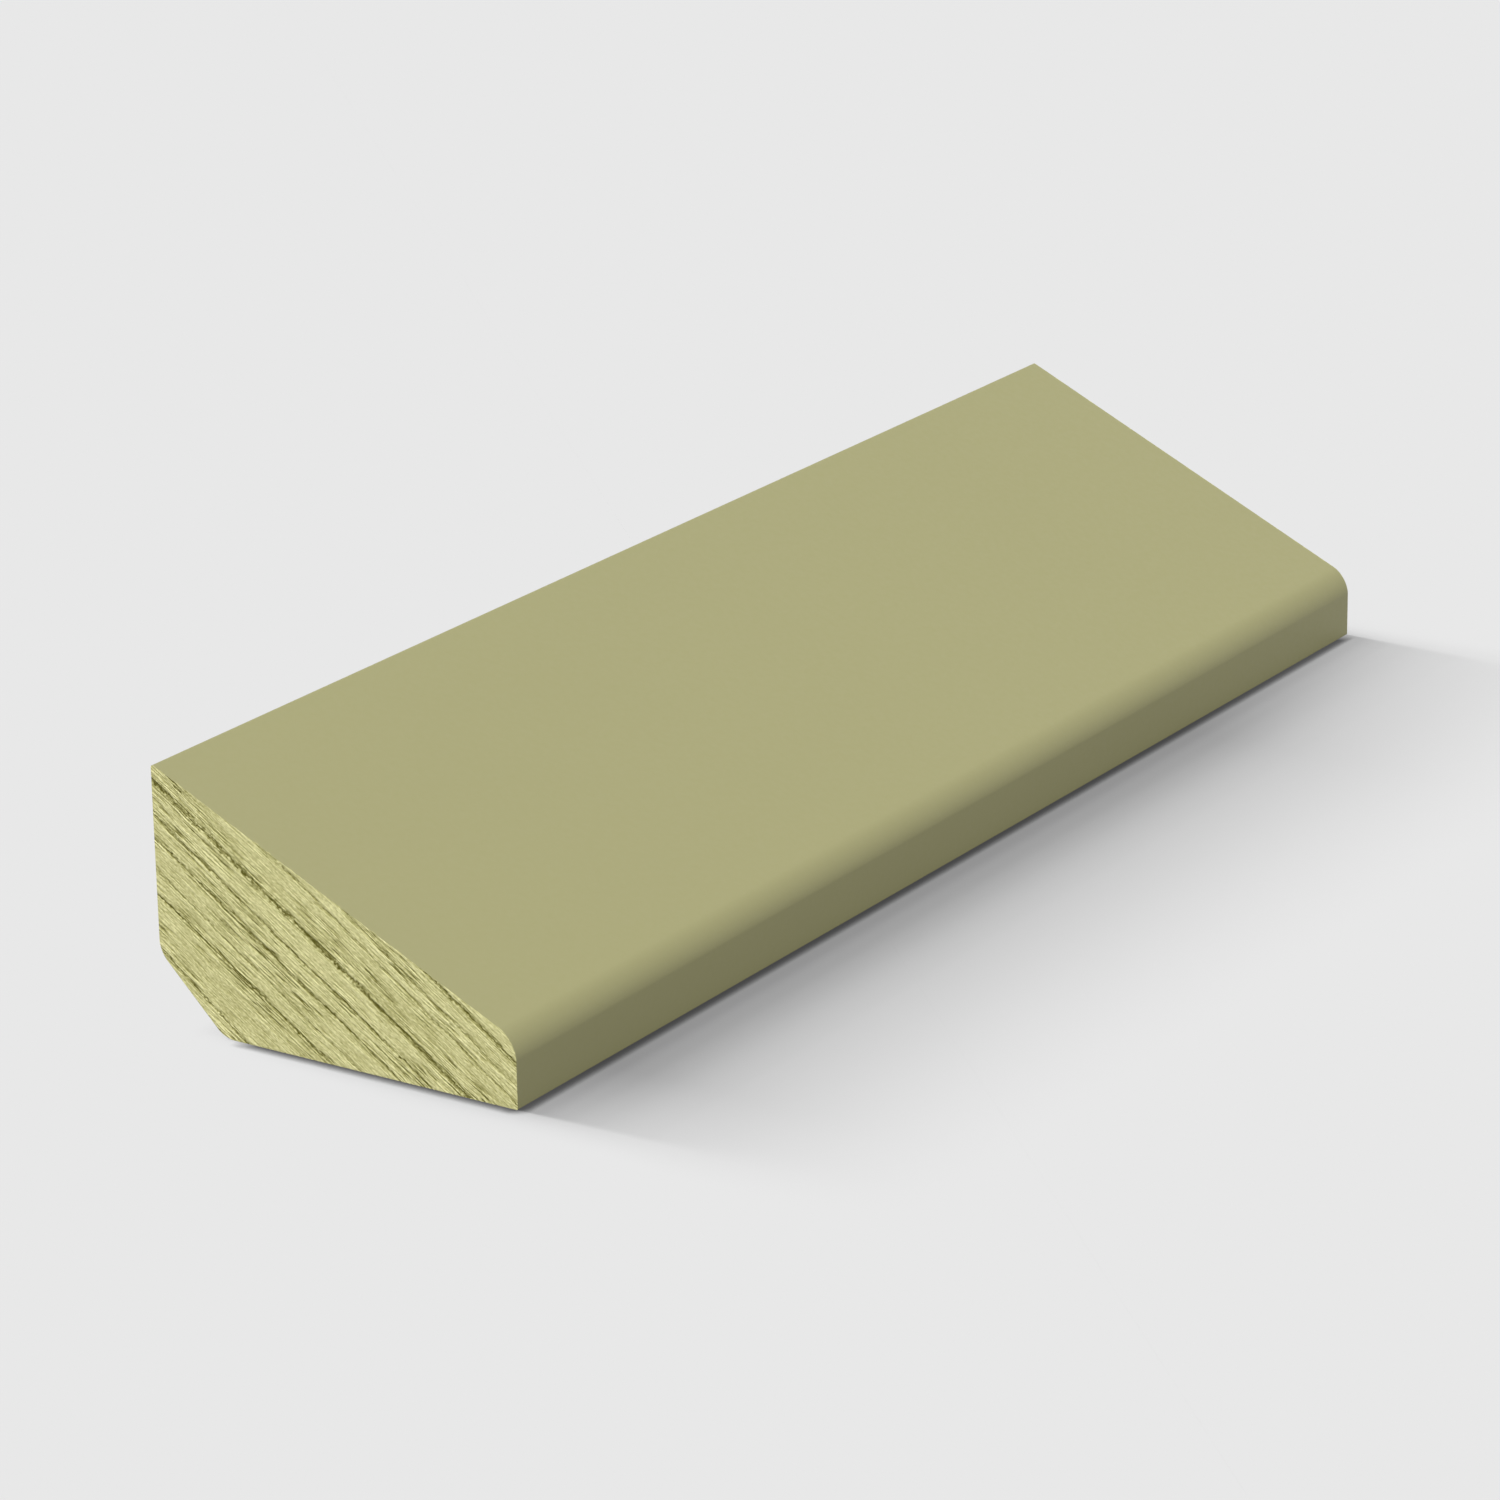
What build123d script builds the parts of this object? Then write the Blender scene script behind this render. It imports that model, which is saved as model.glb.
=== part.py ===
"""Timber glazing bead, a short length of one planed strip. Millimetres, +Z up.

The bead lies the way it is fitted, with its base on the frame and its sloped top shedding water.
X runs along the length, the low nose looks towards -Y and the tall glass face towards +Y.
The origin is on the base, midway along the length and midway between nose and glass face.
"""

import os

from build123d import *

# Driving dimensions
bead_length = 110.0  # between the two sawn ends
bead_depth = 28.0  # from the nose to the glass face
back_height = 17.75  # from the base to the top arris of the glass face
nose_height = 4.65  # from the base to the corner of slope and nose, before it is rounded
nose_radius = 2.2  # round that leads the slope into the nose
heel_chamfer = 5.0  # 45 degree cut between the base and the glass face, along each of them
heel_radius = 1.8  # eases both corners of that cut


def bead_section():
    """The planed section across the strip, with the nose on the left and the glass on the right."""
    nose_y = -bead_depth / 2
    glass_y = bead_depth / 2
    nose_corner = (nose_y, nose_height)
    heel_foot = (glass_y - heel_chamfer, 0)
    heel_top = (glass_y, heel_chamfer)
    outline = Polyline(
        (nose_y, 0),
        heel_foot,
        heel_top,
        (glass_y, back_height),
        nose_corner,
        close=True,
    )
    section = make_face(outline)
    for corner, radius in (
        (nose_corner, nose_radius),
        (heel_foot, heel_radius),
        (heel_top, heel_radius),
    ):
        nearest = section.vertices().sort_by_distance(corner)[0]
        section = fillet(nearest, radius)
    return section


def glazing_bead():
    """The section run out both ways from the middle of the length."""
    return extrude(Plane.YZ * bead_section(), amount=bead_length / 2, both=True)


os.makedirs("parts", exist_ok=True)
export_step(glazing_bead(), "parts/glazing_bead.step")
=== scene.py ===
import math

import bmesh
import bpy
from mathutils import Color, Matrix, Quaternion, Vector


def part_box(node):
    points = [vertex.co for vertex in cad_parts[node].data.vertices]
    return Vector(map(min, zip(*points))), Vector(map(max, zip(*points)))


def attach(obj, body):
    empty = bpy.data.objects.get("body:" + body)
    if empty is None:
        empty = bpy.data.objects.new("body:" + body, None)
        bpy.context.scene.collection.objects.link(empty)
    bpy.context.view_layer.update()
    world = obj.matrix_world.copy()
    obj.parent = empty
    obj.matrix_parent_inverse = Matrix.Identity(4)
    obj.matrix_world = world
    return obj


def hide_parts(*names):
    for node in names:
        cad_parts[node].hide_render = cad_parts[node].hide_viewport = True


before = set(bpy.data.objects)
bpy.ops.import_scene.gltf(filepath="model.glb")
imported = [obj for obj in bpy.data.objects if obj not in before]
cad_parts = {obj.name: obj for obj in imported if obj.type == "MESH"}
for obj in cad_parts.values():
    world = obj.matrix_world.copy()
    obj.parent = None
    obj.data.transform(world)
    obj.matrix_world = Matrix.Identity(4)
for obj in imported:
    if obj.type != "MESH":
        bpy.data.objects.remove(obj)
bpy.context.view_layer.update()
scene = bpy.context.scene

# The planed strip
# One length of softwood, planed to a sloped section with a rounded nose and a heel cut off at 45 degrees.
# The section is drawn at one end and run out to the other, then its corners get the cutter's rounds.
mm = 0.001
low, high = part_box("glazing_bead")
nose_height = 4.65 * mm
nose_radius = 2.2 * mm
heel_chamfer = 5.0 * mm
heel_radius = 1.8 * mm
top_arris_radius = 0.15 * mm
foot_arris_radius = 0.1 * mm
nose_steps = 28
heel_steps = 14
arris_steps = 4
rim_width = 0.05 * mm  # each saw cut is eased all the way round, by this much inwards
rim_fall = 0.012 * mm  # and by this much along the length
nose_foot = (low.y, low.z)
heel_foot = (high.y - heel_chamfer, low.z)
heel_top = (high.y, low.z + heel_chamfer)
glass_top = (high.y, high.z)
nose_top = (low.y, low.z + nose_height)
corners = (nose_foot, heel_foot, heel_top, glass_top, nose_top)
first_x = low.x + rim_fall
run_length = high.x - low.x - 2 * rim_fall

strip = bmesh.new()
section = strip.faces.new([strip.verts.new((first_x, y, z)) for y, z in corners])
run_out = bmesh.ops.extrude_face_region(strip, geom=[section])
far_corners = [part for part in run_out["geom"] if isinstance(part, bmesh.types.BMVert)]
bmesh.ops.translate(strip, verts=far_corners, vec=(run_length, 0, 0))
bmesh.ops.recalc_face_normals(strip, faces=strip.faces)


def round_long_edge(corner, radius, steps):
    """Rounds the long edge at one corner of the section, so that the round meets both faces smoothly."""
    long_edges = [edge for edge in strip.edges if edge.calc_length() > run_length / 2]
    edge = min(long_edges, key=lambda e: (e.verts[0].co.yz - Vector(corner)).length)
    half_corner = (math.pi - edge.calc_face_angle()) / 2
    bmesh.ops.bevel(
        strip,
        geom=[edge],
        offset=radius / math.tan(half_corner),
        offset_type="OFFSET",
        segments=steps,
        profile=0.5,
        affect="EDGES",
        material=-1,
    )


round_long_edge(nose_top, nose_radius, nose_steps)
round_long_edge(heel_foot, heel_radius, heel_steps)
round_long_edge(heel_top, heel_radius, heel_steps)
round_long_edge(glass_top, top_arris_radius, arris_steps)
round_long_edge(nose_foot, foot_arris_radius, arris_steps)


def in_fixed_order(shape):
    """The same shape with its points and faces in one order, because the rounds come in another each run."""
    ordered = bmesh.new()
    outlines = []
    for face in shape.faces:
        outline = [tuple(vert.co) for vert in face.verts]
        first = outline.index(min(outline))
        outlines.append(outline[first:] + outline[:first])
    places = sorted({place for outline in outlines for place in outline})
    points = {place: ordered.verts.new(place) for place in places}
    for outline in sorted(outlines):
        ordered.faces.new([points[place] for place in outline])
    ordered.normal_update()
    shape.free()
    return ordered


strip = in_fixed_order(strip)

# The two saw cuts
# Both ends are bare wood, crosscut by a saw that tears the grain a little, most of all at its dark lines.
# Each end is cut into cells that follow the grain, fine enough to carry that relief in the mesh.
grain_angle = math.radians(35)  # from the nose side of the base up towards the top of the glass face
cell_along = 0.22 * mm
cell_across = 0.05 * mm
on_plane = 1e-8  # metres within which a point lies on the plane that slices it
arris_share = 0.12  # the arris round each cut is torn this much as deep as the cut itself
along_grain = Vector((0, math.cos(grain_angle), math.sin(grain_angle)))
across_grain = Vector((0, -math.sin(grain_angle), math.cos(grain_angle)))
painted_slot, sawn_slot = 0, 1


def slice_faces(faces, direction, pitch):
    """Slices faces by planes square to a direction, one pitch apart, and returns all the slices."""
    done, left = [], list(faces)
    reach = [vert.co.dot(direction) for face in left for vert in face.verts]
    for step in range(1, math.ceil((max(reach) - min(reach)) / pitch)):
        place = min(reach) + step * pitch
        edges = {edge for face in left for edge in face.edges}
        verts = {vert for face in left for vert in face.verts}
        cut = bmesh.ops.bisect_plane(
            strip,
            geom=[*left, *edges, *verts],
            dist=on_plane,
            plane_co=direction * place,
            plane_no=direction,
        )
        parts = [part for part in cut["geom"] if isinstance(part, bmesh.types.BMFace)]
        left = [face for face in parts if face.calc_center_median().dot(direction) > place]
        done += [face for face in parts if face.calc_center_median().dot(direction) <= place]
    return done + left


sawn_mark = strip.verts.layers.float.new("sawn")
for side in (-1, 1):
    end = max(strip.faces, key=lambda face: side * face.calc_center_median().x)
    rim = bmesh.ops.inset_region(
        strip,
        faces=[end],
        thickness=rim_width,
        depth=rim_fall,
        use_even_offset=True,
    )
    cells = slice_faces([end, *rim["faces"]], across_grain, cell_across)
    cells = slice_faces(cells, along_grain, cell_along)
    for cell in cells:
        cell.material_index = sawn_slot
    for vert in {vert for cell in cells for vert in cell.verts}:
        on_arris = any(face.material_index == painted_slot for face in vert.link_faces)
        vert[sawn_mark] = arris_share if on_arris else 1
for face in strip.faces:
    face.smooth = True
for edge in strip.edges:
    edge.smooth = edge.link_faces[0].material_index == edge.link_faces[1].material_index

bead_mesh = bpy.data.meshes.new("painted_bead")
strip.to_mesh(bead_mesh)
strip.free()
bead = bpy.data.objects.new("painted_bead", bead_mesh)
scene.collection.objects.link(bead)

# The wood grain
# Growth rings cross the end at a slant as dark, ragged lines. Short checks gather beside them, and fine
# fibres fill the wood between. The same nodes carve the cuts and colour them, so each line lies in a groove.
rings = (  # mm across the grain from the middle of the base, rise along it, half width in mm, darkness
    (10.56, 0.0, 0.17, 1.0),
    (9.27, 0.0, 0.08, 0.75),
    (8.3, 0.0, 0.08, 0.75),
    (5.83, -0.006, 0.27, 1.0),
    (4.13, -0.02, 0.12, 1.0),
    (2.75, -0.019, 0.11, 1.0),
    (0.97, -0.02, 0.08, 0.75),
    (-0.2, -0.033, 0.11, 0.95),
    (-4.32, 0.036, 0.12, 0.95),
)
raggedness = 3.0  # how far jags throw a ring line to each side, as a multiple of its half width
feather_reach = 0.45  # mm to each side of a ring line in which short checks gather
check_pull = 0.1  # how much more readily the wood checks right at a ring line
check_slant = 0.04  # the checks and fibres cross the rings at this slope
length_scale = 90.0  # mm of the bead's length over which the grain changes
fibre_roughness = 0.55
clear_level = 0.7  # how light and how high the clear wood is, from 0 to 1
line_shade = 0.75  # how much darker than that a dark line is
line_drop = 0.6  # and how much lower


def fill_inputs(tree, node, inputs):
    """Links or sets the inputs of a node that are named."""
    for name, value in inputs.items():
        if isinstance(value, bpy.types.NodeSocket):
            tree.links.new(value, node.inputs[name])
        else:
            node.inputs[name].default_value = value


def add_node(tree, kind, inputs, **settings):
    """Adds a node with its settings, and links or sets the inputs that are named."""
    node = tree.nodes.new(kind)
    for name, value in settings.items():
        setattr(node, name, value)
    fill_inputs(tree, node, inputs)
    return node


def reckon(tree, operation, first, second=0.0):
    """One sum on two numbers or sockets."""
    return add_node(tree, "ShaderNodeMath", {0: first, 1: second}, operation=operation).outputs[0]


def spread(tree, value, start, stop, first, last, curve="LINEAR"):
    """Goes from the first result to the last as a value goes from start to stop, held at both ends."""
    inputs = {"Value": value, "From Min": start, "From Max": stop, "To Min": first, "To Max": last}
    return add_node(tree, "ShaderNodeMapRange", inputs, interpolation_type=curve).outputs["Result"]


def to_mm(tree, position):
    """A position in metres, as millimetres."""
    inputs = {0: position, "Scale": 1 / mm}
    return add_node(tree, "ShaderNodeVectorMath", inputs, operation="SCALE").outputs[0]


def fibres(tree, place, run, width, shift=0.0, detail=1.0):
    """Noise drawn out along the grain, about 0.5, with streaks of one run and width in mm."""
    sizes = (1 / length_scale, 1 / run, 1 / width)
    scaled = add_node(tree, "ShaderNodeVectorMath", {0: place, 1: sizes}, operation="MULTIPLY").outputs[0]
    moved = add_node(tree, "ShaderNodeVectorMath", {0: scaled, 1: (shift, shift, shift)}).outputs[0]
    inputs = {"Vector": moved, "Scale": 1.0, "Detail": detail, "Roughness": fibre_roughness}
    return add_node(tree, "ShaderNodeTexNoise", inputs).outputs[0]


def swing(tree, place, reach, run, width, shift=0.0, detail=1.0):
    """The same noise about 0, times its reach."""
    noise = fibres(tree, place, run, width, shift, detail)
    return reckon(tree, "MULTIPLY", reckon(tree, "SUBTRACT", noise, 0.5), reach)


def ring_lines(tree, along, across, jag):
    """Darkness of the growth ring lines, and of the feathered wood on both sides of them, from 0 to 1."""
    line = feather = 0.0
    for ring_place, ring_rise, half_width, darkness in rings:
        level = reckon(tree, "SUBTRACT", across, reckon(tree, "MULTIPLY", along, ring_rise))
        level = reckon(tree, "ADD", level, reckon(tree, "MULTIPLY", jag, raggedness * half_width))
        off = reckon(tree, "ABSOLUTE", reckon(tree, "SUBTRACT", level, ring_place))
        this_line = spread(tree, off, 0.0, half_width, first=darkness, last=0.0, curve="SMOOTHSTEP")
        this_feather = spread(tree, off, 0.0, feather_reach, first=darkness, last=0.0)
        line = reckon(tree, "MAXIMUM", this_line, line)
        feather = reckon(tree, "MAXIMUM", this_feather, feather)
    return line, feather


def add_grain(tree, position):
    """Adds the grain to a tree. Returns how light the wood is and how high it stands, both about 0 to 1."""
    # The place in mm along and across the grain, which wanders and waves a little
    turn = {"Vector": to_mm(tree, position), "Angle": -grain_angle}
    turned = add_node(tree, "ShaderNodeVectorRotate", turn, rotation_type="X_AXIS").outputs[0]
    lengthwise, along, straight = add_node(tree, "ShaderNodeSeparateXYZ", {0: turned}).outputs
    wander = swing(tree, turned, reach=0.35, run=9.0, width=9.0)
    wave = swing(tree, turned, reach=0.06, run=1.3, width=0.7, shift=61.3)
    across = reckon(tree, "ADD", reckon(tree, "ADD", straight, wander), wave)
    slant = reckon(tree, "ADD", across, reckon(tree, "MULTIPLY", along, check_slant))
    place = add_node(tree, "ShaderNodeCombineXYZ", {0: lengthwise, 1: along, 2: across}).outputs[0]
    slanted = add_node(tree, "ShaderNodeCombineXYZ", {0: lengthwise, 1: along, 2: slant}).outputs[0]

    # The ring lines, which run cleaner and a little darker where the wood is unbroken
    unbroken = fibres(tree, place, run=3.4, width=0.9, shift=3.1)
    jag_reach = spread(tree, unbroken, start=0.38, stop=0.62, first=1.3, last=0.3)
    jag = swing(tree, slanted, reach=jag_reach, run=0.24, width=0.4, shift=3.1, detail=3.0)
    fine_jag = swing(tree, slanted, reach=0.3, run=0.35, width=0.09, shift=7.7)
    line, feather = ring_lines(tree, along, reckon(tree, "ADD", across, fine_jag), jag)
    clean_share = spread(tree, unbroken, start=0.32, stop=0.48, first=0.88, last=1.0)
    strokes = fibres(tree, slanted, run=0.9, width=0.08, shift=47.1)
    stroke_share = spread(tree, strokes, start=0.38, stop=0.54, first=0.72, last=1.0)
    line = reckon(tree, "MULTIPLY", reckon(tree, "MULTIPLY", line, clean_share), stroke_share)

    # Short checks, strongest in the busy bands of the wood and beside the rings
    bands = fibres(tree, place, run=8.0, width=1.7, shift=52.4)
    busy = spread(tree, bands, start=0.42, stop=0.6, first=0.0, last=1.0)
    check_noise = fibres(tree, slanted, run=1.7, width=0.075, shift=29.1, detail=0.0)
    check_noise = reckon(tree, "ADD", check_noise, reckon(tree, "MULTIPLY", feather, check_pull))
    checks = spread(tree, check_noise, start=0.58, stop=0.66, first=0.0, last=1.0)
    gathered = reckon(tree, "MAXIMUM", busy, feather)
    check_share = spread(tree, gathered, start=0.0, stop=1.0, first=0.1, last=0.66)
    dark = reckon(tree, "MAXIMUM", line, reckon(tree, "MULTIPLY", checks, check_share))

    # The wood between, in broad zones, fine streaks and short ripples, with specks in its colour alone
    zones = swing(tree, place, reach=0.35, run=22.0, width=1.3, shift=5.3)
    streak_reach = spread(tree, busy, start=0.0, stop=1.0, first=0.6, last=1.15)
    streaks = swing(tree, slanted, reach=streak_reach, run=3.0, width=0.09, shift=17.7)
    ripples = swing(tree, slanted, reach=0.25, run=1.0, width=0.16, shift=9.1)
    specks = swing(tree, slanted, reach=0.85, run=0.26, width=0.07, shift=23.9)
    clear = reckon(tree, "ADD", zones, clear_level)
    clear = reckon(tree, "ADD", reckon(tree, "ADD", clear, streaks), ripples)
    height = reckon(tree, "SUBTRACT", clear, reckon(tree, "MULTIPLY", dark, line_drop))
    light = reckon(tree, "ADD", clear, specks)
    light = reckon(tree, "SUBTRACT", light, reckon(tree, "MULTIPLY", dark, line_shade))
    return light, height


relief_depth = 0.11 * mm  # from the highest fibres to the deepest grooves
mean_depth = 0.035 * mm  # about where the clear wood lies, and the arris with it
relief = bpy.data.node_groups.new("saw_cut_relief", "GeometryNodeTree")
relief.interface.new_socket("Geometry", in_out="INPUT", socket_type="NodeSocketGeometry")
relief.interface.new_socket("Geometry", in_out="OUTPUT", socket_type="NodeSocketGeometry")
smooth_bead = add_node(relief, "NodeGroupInput", {}).outputs[0]
position = add_node(relief, "GeometryNodeInputPosition", {}).outputs[0]
grain_height = add_grain(relief, position)[1]
sunk = spread(relief, grain_height, start=0.0, stop=1.0, first=relief_depth, last=0.0)
marked = add_node(relief, "GeometryNodeInputNamedAttribute", {"Name": "sawn"}, data_type="FLOAT").outputs[0]
position_x = add_node(relief, "ShaderNodeSeparateXYZ", {0: position}).outputs[0]
inwards = reckon(relief, "MULTIPLY", reckon(relief, "SIGN", position_x), -1.0)
from_mean = reckon(relief, "MULTIPLY", reckon(relief, "SUBTRACT", sunk, mean_depth), marked)
shift_x = reckon(relief, "MULTIPLY", reckon(relief, "ADD", from_mean, mean_depth), inwards)
offset = add_node(relief, "ShaderNodeCombineXYZ", {0: shift_x}).outputs[0]
carving = {"Geometry": smooth_bead, "Offset": offset}
carved_bead = add_node(relief, "GeometryNodeSetPosition", carving).outputs[0]
add_node(relief, "NodeGroupOutput", {0: carved_bead})
bead.modifiers.new("saw_cut_relief", "NODES").node_group = relief
flat_faces = bead.modifiers.new("flat_faces", "WEIGHTED_NORMAL")
flat_faces.keep_sharp = True


def colour(red, green, blue):
    """A colour as seen on a screen, 0 to 255, as the linear values that shaders take."""
    seen_colour = Color((red / 255, green / 255, blue / 255))
    return (*seen_colour.from_srgb_to_scene_linear(), 1.0)


def new_material(name):
    """A material with nodes, its tree, its Principled shader and the place on the object."""
    material = bpy.data.materials.new(name)
    material.use_nodes = True
    tree = material.node_tree
    coordinates = add_node(tree, "ShaderNodeTexCoord", {}).outputs["Object"]
    return material, tree, tree.nodes["Principled BSDF"], coordinates


groove_at, groove_colour = 0.05, colour(100, 96, 36)  # how light the wood is, and its colour there
shade_at, shade_colour = 0.36, colour(172, 168, 106)
wood_at, wood_colour = 0.6, colour(203, 199, 138)
fibre_at, fibre_colour = 1.0, colour(250, 246, 186)
sawn_wood, tree, shader, coordinates = new_material("sawn_softwood")
lightness = add_grain(tree, coordinates)[0]
ramp = add_node(tree, "ShaderNodeValToRGB", {0: lightness})
stops = ramp.color_ramp.elements
stops[0].position, stops[0].color = groove_at, groove_colour
stops[1].position, stops[1].color = fibre_at, fibre_colour
stops.new(shade_at).color = shade_colour
stops.new(wood_at).color = wood_colour
bump = {"Height": lightness, "Strength": 0.7, "Distance": 0.05 * mm}
wood_finish = {
    "Base Color": ramp.outputs["Color"],
    "Roughness": spread(tree, lightness, start=0.1, stop=0.9, first=0.95, last=0.75),
    "Specular IOR Level": 0.2,
    "Normal": add_node(tree, "ShaderNodeBump", bump).outputs[0],
}
fill_inputs(tree, shader, wood_finish)

# The paint
# A flat olive coat on every long face, brushed on before the bead was sawn to length. It is smooth and even,
# with brush lines just felt along the length, and it breaks away in specks where the saw came through.
paint_dull = colour(163, 160, 113)
paint_fresh = colour(164, 161, 114)
least_torn, most_torn = 0.02, 0.15  # mm that the paint is torn back from the cut
torn_blur = 0.05  # mm to each side over which the paint thins out there
brush_share, peel_share = 0.5, 0.5  # what the brush lines and the paint's own fine peel give its skin
paint, tree, shader, coordinates = new_material("olive_paint")
in_mm = to_mm(tree, coordinates)


def paint_noise(sizes, detail):
    """Noise over the paint, with patches of the given sizes in mm along X, Y and Z."""
    scaled = {0: in_mm, 1: [1 / size for size in sizes]}
    place = add_node(tree, "ShaderNodeVectorMath", scaled, operation="MULTIPLY").outputs[0]
    inputs = {"Vector": place, "Scale": 1.0, "Detail": detail}
    return add_node(tree, "ShaderNodeTexNoise", inputs).outputs[0]


def mix_colours(tree, share, first, last):
    """The first colour where the share is 0, going over to the last where it is 1."""
    first_input, last_input, colour_output = 6, 7, 2  # the mix node's sockets for colours
    inputs = {"Factor": share, first_input: first, last_input: last}
    return add_node(tree, "ShaderNodeMix", inputs, data_type="RGBA").outputs[colour_output]


clouds = paint_noise(sizes=(26, 14, 14), detail=3.0)
brush_lines = paint_noise(sizes=(40, 0.45, 0.45), detail=2.0)
peel = paint_noise(sizes=(0.5, 0.5, 0.5), detail=1.0)
flecks = paint_noise(sizes=(0.9, 0.5, 0.5), detail=2.0)
fresh_share = spread(tree, clouds, start=0.3, stop=0.7, first=0.0, last=1.0)
tint = mix_colours(tree, fresh_share, paint_dull, paint_fresh)
from_middle = reckon(tree, "ABSOLUTE", add_node(tree, "ShaderNodeSeparateXYZ", {0: in_mm}).outputs[0])
from_cut = reckon(tree, "SUBTRACT", high.x / mm, from_middle)
torn = spread(tree, flecks, start=0.45, stop=0.75, first=least_torn, last=most_torn)
past_torn = reckon(tree, "SUBTRACT", from_cut, torn)
bare_share = spread(tree, past_torn, start=-torn_blur, stop=torn_blur, first=1.0, last=0.0)
brush_height = reckon(tree, "MULTIPLY", brush_lines, brush_share)
skin = reckon(tree, "ADD", brush_height, reckon(tree, "MULTIPLY", peel, peel_share))
bump = {"Height": skin, "Strength": 0.12, "Distance": 0.03 * mm}
paint_finish = {
    "Base Color": mix_colours(tree, bare_share, tint, wood_colour),
    "Roughness": spread(tree, peel, start=0.2, stop=0.8, first=0.46, last=0.58),
    "Normal": add_node(tree, "ShaderNodeBump", bump).outputs[0],
}
fill_inputs(tree, shader, paint_finish)

bead_mesh.materials.append(paint)
bead_mesh.materials.append(sawn_wood)
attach(bead, "root")
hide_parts("glazing_bead")

# The floor
# A plain pale grey studio floor, wide enough to fill the view, which takes the bead's soft shadow.
# A painted contact shadow darkens it in the thin gap beside the bead's foot, but not at the near heel or the
# far end of the nose.
# The shadow fades towards both ends of the bead, because there a share of the floor's brightness is its own
# glow, painted light that lifts the shadow.
floor_half = 3.0
floor_colour = colour(232, 232, 232)
black = colour(0, 0, 0)
gap_reach = 1.0 * mm  # how far from the foot the painted gap shade reaches
gap_samples = 8
nose_gap_strength = 4.3  # how fast the painted shade darkens beside the nose
end_gap_strength = 3.0  # and beside the sawn end
darkest_painted_shade = 0.22  # the least of the floor's colour that the painted shade leaves
near_fade, near_fade_run = 0.35, 9 * mm  # the floor's share of painted glow at the near end, and the run it goes over
far_fade, far_fade_run = 0.48, 26 * mm
foot_fade, foot_fade_run = 0.5, 4 * mm  # what is left of that share at the foot of the nose
floor_shape = bmesh.new()
bmesh.ops.create_grid(floor_shape, x_segments=1, y_segments=1, size=floor_half)
floor_mesh = bpy.data.meshes.new("studio_floor")
floor_shape.to_mesh(floor_mesh)
floor_shape.free()
floor = bpy.data.objects.new("studio_floor", floor_mesh)
scene.collection.objects.link(floor)

floor_grey, tree, shader, coordinates = new_material("pale_floor")
# The painted contact shadow: occlusion near the bead's foot darkens the floor's base colour.
gap_settings = {"Distance": gap_reach}
gap = add_node(tree, "ShaderNodeAmbientOcclusion", gap_settings, samples=gap_samples).outputs["AO"]
place_x, place_y, _ = add_node(tree, "ShaderNodeSeparateXYZ", {0: coordinates}).outputs
base_edge = heel_foot[0] - heel_radius / 2
heel_start, heel_stop = low.x + heel_radius, low.x + heel_chamfer
heel_open = spread(tree, place_x, heel_start, heel_stop, first=1.0, last=darkest_painted_shade)
past_heel = spread(tree, place_y, base_edge - heel_radius, base_edge, first=darkest_painted_shade, last=heel_open)
nose_end_start, nose_end_stop = high.x - 2 * gap_reach, high.x - gap_reach / 4
nose_end = spread(tree, place_x, nose_end_start, nose_end_stop, first=0.0, last=1.0)
past_nose = spread(tree, place_y, low.y + gap_reach, low.y + 2 * gap_reach, first=nose_end, last=darkest_painted_shade)
gap_strength = spread(
    tree, place_y, low.y, low.y + gap_reach, first=nose_gap_strength, last=end_gap_strength
)
unshaded_share = reckon(tree, "MAXIMUM", reckon(tree, "POWER", gap, gap_strength), past_heel)
unshaded_share = reckon(tree, "MAXIMUM", unshaded_share, past_nose)
# The floor glows with painted light towards both ends of the bead, lifting its shadow there.
near_share = spread(tree, place_x, low.x, low.x + near_fade_run, first=near_fade, last=0.0)
far_share = spread(tree, place_x, high.x - far_fade_run, high.x, first=0.0, last=far_fade)
foot_share = spread(tree, place_y, low.y - foot_fade_run, low.y, first=1.0, last=foot_fade)
glow_share = reckon(tree, "MULTIPLY", reckon(tree, "MAXIMUM", near_share, far_share), foot_share)
glow_share = reckon(tree, "MULTIPLY", glow_share, unshaded_share)
lit_share = reckon(tree, "SUBTRACT", unshaded_share, glow_share)
floor_finish = {
    "Base Color": mix_colours(tree, lit_share, black, floor_colour),
    "Emission Color": mix_colours(tree, glow_share, black, floor_colour),
    "Emission Strength": 1.0,
    "Roughness": 1.0,
    "Specular IOR Level": 0.0,
}
fill_inputs(tree, shader, floor_finish)
floor_mesh.materials.append(floor_grey)

# The studio light
# A soft even sky, which neither the bead nor the floor shades from the other. The bead has a broad key lamp
# above its sawn end, a narrower one that rakes down that end and shows its grain, and a weak fill in front.
# The floor has its own row of lamps behind the bead, which lay its shadow out in front of the nose.
sky_level = 0.36
white = (1, 1, 1, 1)
world = bpy.data.worlds.new("studio_sky")
scene.world = world
world.use_nodes = True
tree = world.node_tree
tree.nodes.clear()
path = add_node(tree, "ShaderNodeLightPath", {}).outputs
seen = reckon(tree, "MAXIMUM", path["Is Camera Ray"], path["Is Glossy Ray"])
seen = reckon(tree, "MAXIMUM", seen, path["Is Transmission Ray"])
light_side = add_node(tree, "ShaderNodeBackground", {"Strength": sky_level, "Color": white}).outputs[0]
seen_side = add_node(tree, "ShaderNodeBackground", {"Strength": 1.0, "Color": floor_colour}).outputs[0]
sky = add_node(tree, "ShaderNodeMixShader", {0: seen, 1: light_side, 2: seen_side}).outputs[0]
add_node(tree, "ShaderNodeOutputWorld", {"Surface": sky})
bead.visible_diffuse = False
floor.visible_diffuse = False

bead_only = bpy.data.collections.new("lit_bead")
bead_only.objects.link(bead)
floor_only = bpy.data.collections.new("lit_floor")
floor_only.objects.link(floor)


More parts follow.
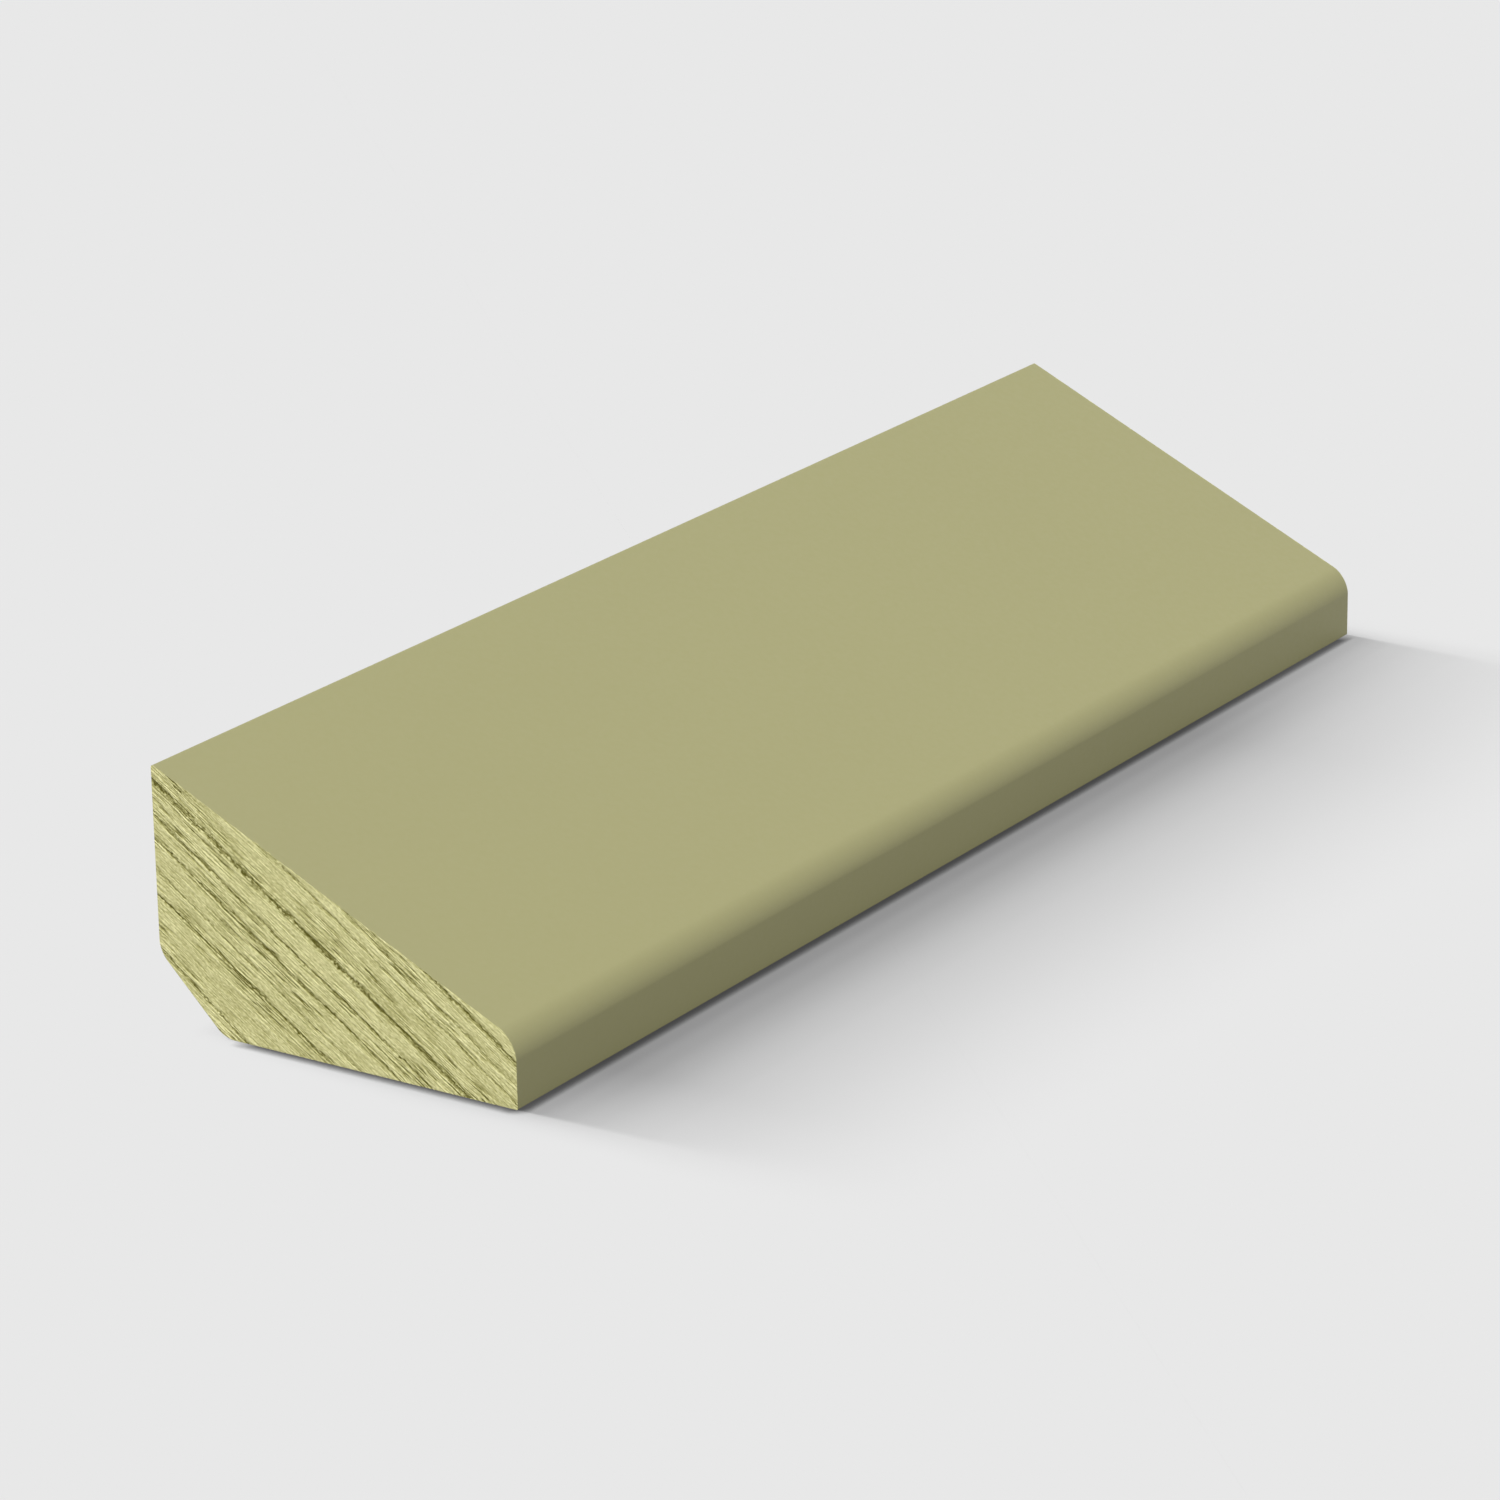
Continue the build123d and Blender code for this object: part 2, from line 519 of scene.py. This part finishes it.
def add_lamp(name, towards, level, softness, receivers):
    """A distant lamp in one direction, whose light on a white card that faces it gives that level."""
    lamp = bpy.data.lights.new(name, "SUN")
    lamp.energy = math.pi * level
    lamp.angle = math.radians(softness)
    holder = bpy.data.objects.new(name, lamp)
    holder.rotation_mode = "QUATERNION"
    holder.rotation_quaternion = Vector(towards).to_track_quat("Z", "Y")
    holder.light_linking.receiver_collection = receivers
    scene.collection.objects.link(holder)


add_lamp("key_lamp", towards=(-0.58, -0.05, 0.81), level=0.53, softness=50, receivers=bead_only)
add_lamp("rake_lamp", towards=(-0.4, -0.02, 0.92), level=0.3, softness=20, receivers=bead_only)
add_lamp("fill_lamp", towards=(-0.6, -0.6, 0.53), level=0.04, softness=60, receivers=bead_only)
for name, elevation, floor_level, softness in (
    ("low_back_lamp", 21.5, 0.27, 9),
    ("mid_back_lamp", 31, 0.17, 15),
    ("high_back_lamp", 43, 0.12, 15),
    ("top_back_lamp", 60, 0.08, 15),
):
    lamp_rise = math.radians(elevation)
    from_behind = (0, math.cos(lamp_rise), math.sin(lamp_rise))
    add_lamp(name, from_behind, floor_level / math.sin(lamp_rise), softness, floor_only)

# The camera
# A long lens looks down on the sawn end and the nose from the left, a little out of level.
# It stands about 0.4 m away, so the bead narrows a little towards its far end.
view_turn = math.radians(-56.46)  # round from the front, towards the sawn end
view_height = math.radians(19.28)
view_roll = math.radians(-0.918)
aim = Vector((-7.111, 0, 6.787)) * mm
view_distance = 408.02 * mm
level_share = math.cos(view_height)
backwards = Vector(
    (math.sin(view_turn) * level_share, -math.cos(view_turn) * level_share, math.sin(view_height))
)
camera_data = bpy.data.cameras.new("studio_camera")
camera_data.lens = 141.284
camera_data.sensor_width = 36
camera_data.clip_start = 0.01
camera_data.clip_end = 20
camera = bpy.data.objects.new("studio_camera", camera_data)
camera.location = aim + backwards * view_distance
camera.rotation_mode = "QUATERNION"
camera.rotation_quaternion = backwards.to_track_quat("Z", "Y") @ Quaternion((0, 0, 1), view_roll)
scene.collection.objects.link(camera)
scene.camera = camera
scene.view_settings.view_transform = "Standard"
